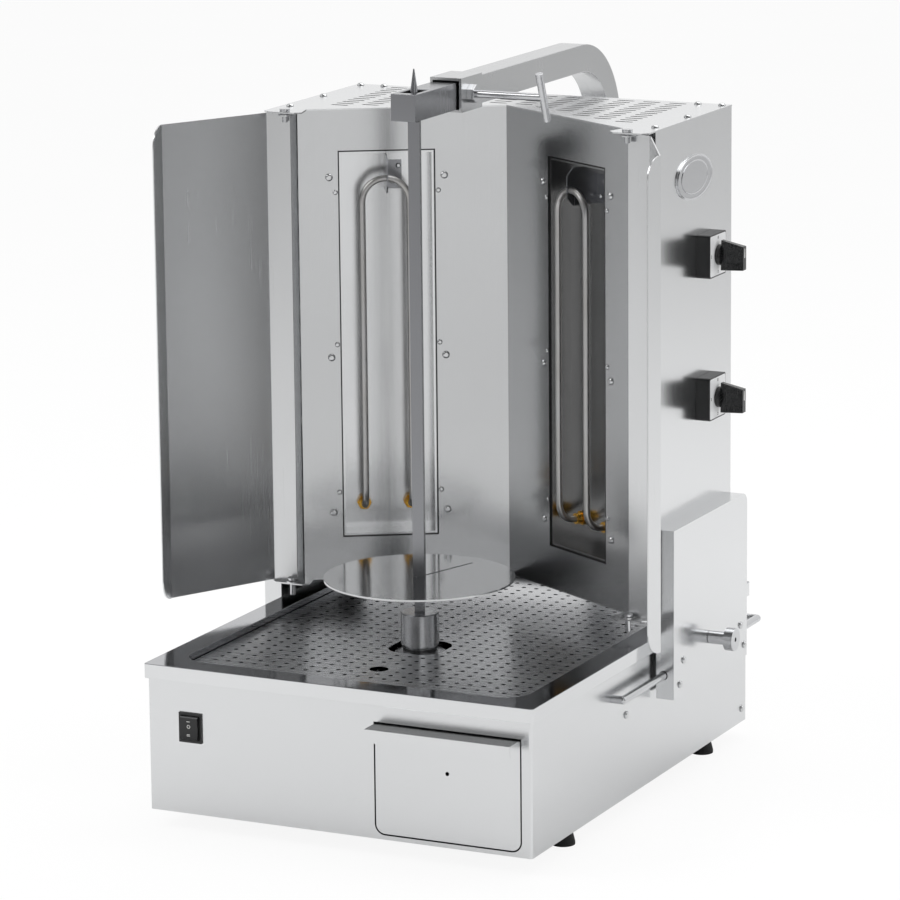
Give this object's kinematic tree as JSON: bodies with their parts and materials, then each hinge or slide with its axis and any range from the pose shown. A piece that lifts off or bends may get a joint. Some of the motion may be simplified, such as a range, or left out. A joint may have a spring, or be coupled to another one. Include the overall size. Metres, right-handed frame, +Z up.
{
  "type": "electric doner kebab grill",
  "caption": "Countertop vertical broiler: motor-driven skewer and disc before a sliding V housing with tubular heaters and hinged wings, over a perforated drip plate and grease drawer.",
  "frame": {"origin": "on the rest surface, under the middle of the part's width and length", "axes": "+Z up, -Y towards the front with the drawer, +X to the user's right"},
  "size_m": [0.566, 0.709, 0.775],
  "materials": {
    "brushed_sheet": "brushed stainless sheet",
    "polished_deck": "polished stainless sheet",
    "polished_disc": "polished stainless",
    "square_tube": "satin stainless tube",
    "turned_steel": "turned stainless",
    "shaft_steel": "ground steel",
    "screw_steel": "zinc plated",
    "heater_sheath": "annealed tube",
    "gland_brass": "machined brass",
    "foot_rubber": "matt black",
    "switch_plastic": "satin black",
    "inner_plastic": "black",
    "ceramic": "white ceramic",
    "motor_paint": "grey paint"
  },
  "bodies": {
    "base": {"base_body": "brushed_sheet", "base_bottom": "brushed_sheet", "rear_panel": "brushed_sheet", "deck_pan": "polished_deck", "rubber_feet": "foot_rubber", "foot_screws": "screw_steel", "left_guide_rod": "turned_steel", "right_guide_rod": "turned_steel", "gear_motor": "motor_paint", "motor_bracket": "brushed_sheet", "hub_bearing": "shaft_steel", "drawer_runners": "brushed_sheet", "rocker_bezel": "switch_plastic", "terminal_block": "ceramic", "cable_gland": "inner_plastic", "base_screws": "screw_steel", "arm_tube": "square_tube", "arm_sleeve": "square_tube", "sleeve_nut": "turned_steel", "arm_flange": "square_tube"},
    "hub": {"drive_hub": "turned_steel", "drive_shaft": "shaft_steel"},
    "spit": {"skewer": "turned_steel", "meat_disc": "polished_disc", "disc_collar": "turned_steel"},
    "bar": {"arm_bar": "square_tube"},
    "clamp": {"clamp_screw": "turned_steel"},
    "drawer": {"drawer_tray": "brushed_sheet", "drawer_front": "brushed_sheet"},
    "drip": {"drip_plate": "polished_deck"},
    "rocker": {"rocker_key": "switch_plastic"},
    "carriage": {"left_inner_panel": "brushed_sheet", "right_inner_panel": "brushed_sheet", "left_side_panel": "brushed_sheet", "right_side_panel": "brushed_sheet", "housing_back": "brushed_sheet", "top_cover": "brushed_sheet", "housing_floor": "brushed_sheet", "left_heater_tray": "brushed_sheet", "right_heater_tray": "brushed_sheet", "left_heater": "heater_sheath", "right_heater": "heater_sheath", "heater_clips": "turned_steel", "heater_glands": "gland_brass", "heater_terminals": "ceramic", "housing_screws": "screw_steel", "hinge_pins": "turned_steel", "badge_plate": "polished_disc", "switch_blocks": "switch_plastic", "contact_blocks": "inner_plastic", "left_skirt": "brushed_sheet", "right_skirt": "brushed_sheet", "guide_blocks": "inner_plastic", "skirt_screws": "screw_steel", "lock_nut": "turned_steel"},
    "wing_left": {"left_wing": "brushed_sheet"},
    "wing_right": {"right_wing": "brushed_sheet"},
    "knob_upper": {"upper_knob": "switch_plastic"},
    "knob_lower": {"lower_knob": "switch_plastic"},
    "lock": {"lock_knob": "turned_steel"}
  },
  "joints": [
    {"name": "hub_spin", "type": "hinge", "parent": "base", "child": "hub", "pos_m": [0, -0.1355, 0.169], "axis": [0, 0, 1], "continuous": true},
    {"name": "spit_lift", "type": "slide", "parent": "hub", "child": "spit", "axis": [0, 0, 1], "range_m": [0, 0.03]},
    {"name": "arm_bar_slide", "type": "slide", "parent": "base", "child": "bar", "axis": [0, 1, 0], "range_m": [-0.005, 0.005]},
    {"name": "clamp_screw_turn", "type": "hinge", "parent": "base", "child": "clamp", "pos_m": [0.0007, -0.0425, 0.7387], "axis": [1, 0, 0], "range_deg": [0, 360]},
    {"name": "drawer_slide", "type": "slide", "parent": "base", "child": "drawer", "axis": [0, -1, 0], "range_m": [0, 0.3]},
    {"name": "drip_plate_lift", "type": "slide", "parent": "base", "child": "drip", "axis": [0, 0, 1], "range_m": [0, 0.025]},
    {"name": "rocker_tilt", "type": "hinge", "parent": "base", "child": "rocker", "pos_m": [-0.1675, -0.33, 0.1112], "axis": [1, 0, 0], "range_deg": [-12, 12]},
    {"name": "carriage_slide", "type": "slide", "parent": "base", "child": "carriage", "axis": [0, 1, 0], "range_m": [-0.08, 0.045]},
    {"name": "left_wing_swing", "type": "hinge", "parent": "carriage", "child": "wing_left", "pos_m": [-0.197, -0.0445, 0.197], "axis": [0, 0, 1], "range_deg": [-30, 60]},
    {"name": "right_wing_swing", "type": "hinge", "parent": "carriage", "child": "wing_right", "pos_m": [0.197, -0.0445, 0.197], "axis": [0, 0, 1], "range_deg": [-60, 30]},
    {"name": "upper_knob_turn", "type": "hinge", "parent": "carriage", "child": "knob_upper", "pos_m": [0.2365, 0.103, 0.5605], "axis": [1, 0, 0], "range_deg": [-270, 0]},
    {"name": "lower_knob_turn", "type": "hinge", "parent": "carriage", "child": "knob_lower", "pos_m": [0.2365, 0.103, 0.408], "axis": [1, 0, 0], "range_deg": [-270, 0]},
    {"name": "lock_knob_turn", "type": "hinge", "parent": "carriage", "child": "lock", "pos_m": [0.241, 0.0715, 0.1537], "axis": [1, 0, 0], "range_deg": [0, 360]}
  ]
}
